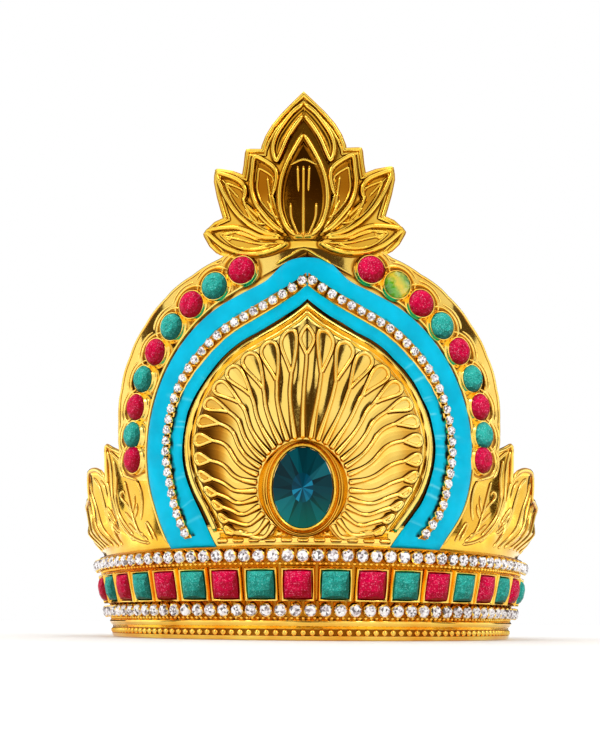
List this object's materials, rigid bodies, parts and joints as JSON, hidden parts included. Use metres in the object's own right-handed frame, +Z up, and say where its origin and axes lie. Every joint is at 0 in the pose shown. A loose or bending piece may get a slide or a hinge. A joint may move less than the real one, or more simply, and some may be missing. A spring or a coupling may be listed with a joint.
{
  "type": "deity crown",
  "caption": "Gold crown for a deity figure: round band with set stones and chain, tall front plate with a taped arch, fluted fan and lotus crest, and leaves at the sides.",
  "frame": {"origin": "on the floor under the middle of the crown's box; the band's axis is 11.25 mm behind it, at +Y", "axes": "+Z up the crown, -Y the way the front plate faces, +X to the right in the picture"},
  "size_m": [0.2084, 0.2214, 0.211],
  "materials": {
    "gold": "mirror gold plating",
    "turquoise_tape": "glossy tape",
    "rhinestone_chain": "clear cut stones in gold cups",
    "red_stone": "glitter acrylic",
    "green_stone": "glitter acrylic",
    "pale_green_stone": "translucent acrylic",
    "teal_stone": "cut and foiled glass"
  },
  "bodies": {
    "root": {"base_band": "gold", "front_plate": "gold", "side_leaves_left": "gold", "side_leaves_right": "gold", "tape": "turquoise_tape", "tape_chain_left": "rhinestone_chain", "tape_chain_right": "rhinestone_chain", "upper_chain": "rhinestone_chain", "lower_chain": "rhinestone_chain", "centre_stone": "teal_stone", "round_stone_left_1": "red_stone", "round_stone_right_1": "red_stone", "round_stone_left_2": "green_stone", "round_stone_right_2": "pale_green_stone", "round_stone_left_3": "red_stone", "round_stone_right_3": "red_stone", "round_stone_left_4": "green_stone", "round_stone_right_4": "green_stone", "round_stone_left_5": "red_stone", "round_stone_right_5": "red_stone", "round_stone_left_6": "green_stone", "round_stone_right_6": "green_stone", "round_stone_left_7": "red_stone", "round_stone_right_7": "red_stone", "round_stone_left_8": "green_stone", "round_stone_right_8": "green_stone", "round_stone_left_9": "red_stone", "round_stone_right_9": "red_stone", "square_stone_1": "red_stone", "square_stone_2": "green_stone", "square_stone_3": "red_stone", "square_stone_4": "green_stone", "square_stone_5": "red_stone", "square_stone_6": "green_stone", "square_stone_7": "red_stone", "square_stone_8": "green_stone", "square_stone_9": "red_stone", "square_stone_10": "green_stone", "square_stone_11": "red_stone", "square_stone_12": "green_stone", "square_stone_13": "red_stone", "square_stone_14": "green_stone", "square_stone_15": "red_stone", "square_stone_16": "green_stone", "square_stone_17": "red_stone", "square_stone_18": "green_stone"}
  },
  "joints": []
}
